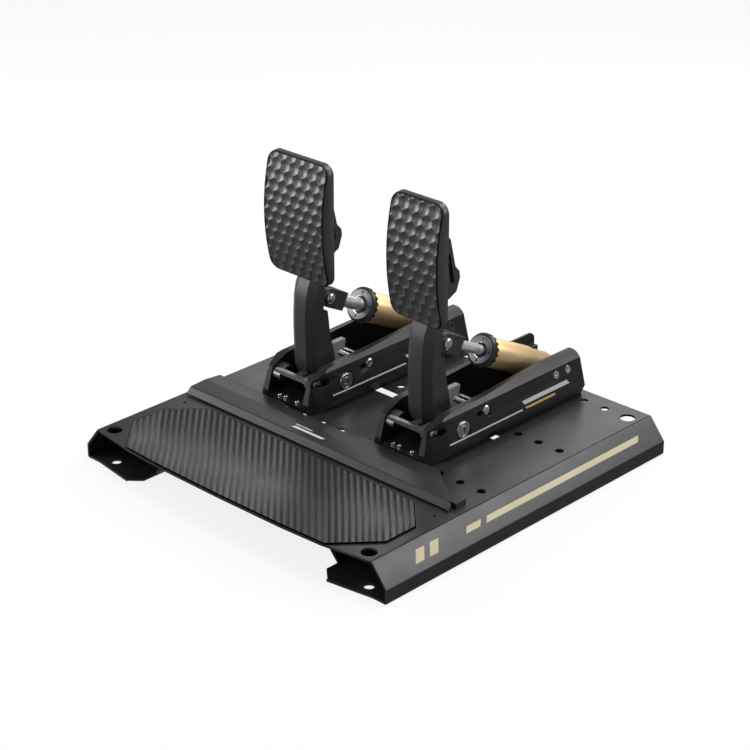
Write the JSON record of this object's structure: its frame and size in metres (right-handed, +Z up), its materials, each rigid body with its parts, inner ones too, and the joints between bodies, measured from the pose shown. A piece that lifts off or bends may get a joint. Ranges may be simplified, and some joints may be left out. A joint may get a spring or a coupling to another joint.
{
  "type": "sim racing pedal set",
  "caption": "Floor-standing driving pedals: folded base with ribbed heel mat and heel stop, damped brake and throttle modules between machined side plates.",
  "frame": {"origin": "middle of the footprint, on the floor", "axes": "+X to the driver's right, +Y away from the driver, +Z up"},
  "size_m": [0.4386, 0.4408, 0.3153],
  "materials": {
    "base_paint": "black powder coat, fine grain",
    "mat": "dark ribbed composite, satin",
    "stop_paint": "black powder coat, fine grain",
    "black_aluminium": "black anodised, fine blasted",
    "dark_aluminium": "dark anodised, fine blasted",
    "grip": "black anodised, pocketed",
    "gold": "gold anodised, satin",
    "grey_aluminium": "grey anodised, satin",
    "chrome": "polished",
    "steel": "bright zinc",
    "black_steel": "black oxide",
    "bronze": "plain bearing bronze",
    "pad_rubber": "plain",
    "post_plastic": "grey, satin"
  },
  "bodies": {
    "base": {"base_plate": "base_paint", "heel_mat": "mat", "heel_stop": "stop_paint", "heel_stop_blocks": "stop_paint", "heel_stop_screws": "steel", "brake_floor": "black_aluminium", "brake_floor_screws": "steel", "brake_side_left": "black_aluminium", "brake_side_right": "black_aluminium", "brake_side_bolts": "steel", "brake_pivot_axle": "steel", "brake_pivot_caps": "grey_aluminium", "brake_rear_pin": "steel", "brake_bearing_blocks": "black_aluminium", "brake_stop_bar": "steel", "brake_stop_pad": "pad_rubber", "brake_travel_rod": "chrome", "brake_tie_rod": "chrome", "brake_sensor_post": "post_plastic", "throttle_floor": "black_aluminium", "throttle_floor_screws": "steel", "throttle_side_left": "black_aluminium", "throttle_side_right": "black_aluminium", "throttle_side_bolts": "steel", "throttle_pivot_axle": "steel", "throttle_pivot_caps": "grey_aluminium", "throttle_rear_pin": "steel", "throttle_bearing_blocks": "black_aluminium", "throttle_stop_bar": "steel", "throttle_stop_pad": "pad_rubber", "throttle_travel_rod": "chrome", "throttle_tie_rod": "chrome", "throttle_sensor_post": "post_plastic"},
    "brake_pedal": {"brake_arm": "dark_aluminium", "brake_arm_bushes": "bronze", "brake_face": "grip", "brake_face_bracket": "dark_aluminium", "brake_face_screws": "black_steel", "brake_bracket_bolts": "black_steel", "brake_clevis_bolt": "steel"},
    "brake_rod": {"brake_piston_rod": "chrome", "brake_clevis": "dark_aluminium"},
    "brake_damper": {"brake_cylinder": "gold", "brake_end_cap": "grey_aluminium", "brake_buffer": "pad_rubber"},
    "brake_ring": {"brake_preload_ring": "grey_aluminium"},
    "throttle_pedal": {"throttle_arm": "dark_aluminium", "throttle_arm_bushes": "bronze", "throttle_face": "grip", "throttle_face_bracket": "dark_aluminium", "throttle_face_screws": "black_steel", "throttle_bracket_bolts": "black_steel", "throttle_clevis_bolt": "steel"},
    "throttle_rod": {"throttle_piston_rod": "chrome", "throttle_clevis": "dark_aluminium"},
    "throttle_damper": {"throttle_cylinder": "gold", "throttle_end_cap": "grey_aluminium", "throttle_buffer": "pad_rubber"},
    "throttle_ring": {"throttle_preload_ring": "grey_aluminium"}
  },
  "joints": [
    {"name": "brake_press", "type": "hinge", "parent": "base", "child": "brake_pedal", "pos_m": [-0.098, 0.0185, 0.065], "axis": [-1, 0, 0], "range_deg": [0, 12], "stiffness_Nm_per_rad": 26, "springref_deg": -3.44},
    {"name": "brake_damper_tilt", "type": "hinge", "parent": "base", "child": "brake_damper", "pos_m": [-0.098, 0.1981, 0.0645], "axis": [-1, 0, 0], "range_deg": [0, 1.88]},
    {"name": "brake_rod_slide", "type": "slide", "parent": "brake_damper", "child": "brake_rod", "axis": [0, 0.8938, -0.4484], "range_m": [0, 0.01758]},
    {"name": "brake_ring_turn", "type": "hinge", "parent": "brake_damper", "child": "brake_ring", "pos_m": [-0.098, 0.0946, 0.11643], "axis": [0, 0.8938, -0.4484], "continuous": true},
    {"name": "throttle_press", "type": "hinge", "parent": "base", "child": "throttle_pedal", "pos_m": [0.07, 0.0185, 0.065], "axis": [-1, 0, 0], "range_deg": [0, 15], "stiffness_Nm_per_rad": 8, "springref_deg": -3.44},
    {"name": "throttle_damper_tilt", "type": "hinge", "parent": "base", "child": "throttle_damper", "pos_m": [0.07, 0.1981, 0.0645], "axis": [-1, 0, 0], "range_deg": [0, 2.24]},
    {"name": "throttle_rod_slide", "type": "slide", "parent": "throttle_damper", "child": "throttle_rod", "axis": [0, 0.8938, -0.4484], "range_m": [0, 0.02211]},
    {"name": "throttle_ring_turn", "type": "hinge", "parent": "throttle_damper", "child": "throttle_ring", "pos_m": [0.07, 0.0946, 0.11643], "axis": [0, 0.8938, -0.4484], "continuous": true}
  ],
  "couplings": [
    {"joint": "brake_damper_tilt", "follows": "brake_press", "ratio": 0.1535},
    {"joint": "brake_rod_slide", "follows": "brake_press", "m_per_rad": 0.0823},
    {"joint": "throttle_damper_tilt", "follows": "throttle_press", "ratio": 0.1465},
    {"joint": "throttle_rod_slide", "follows": "throttle_press", "m_per_rad": 0.0828}
  ]
}
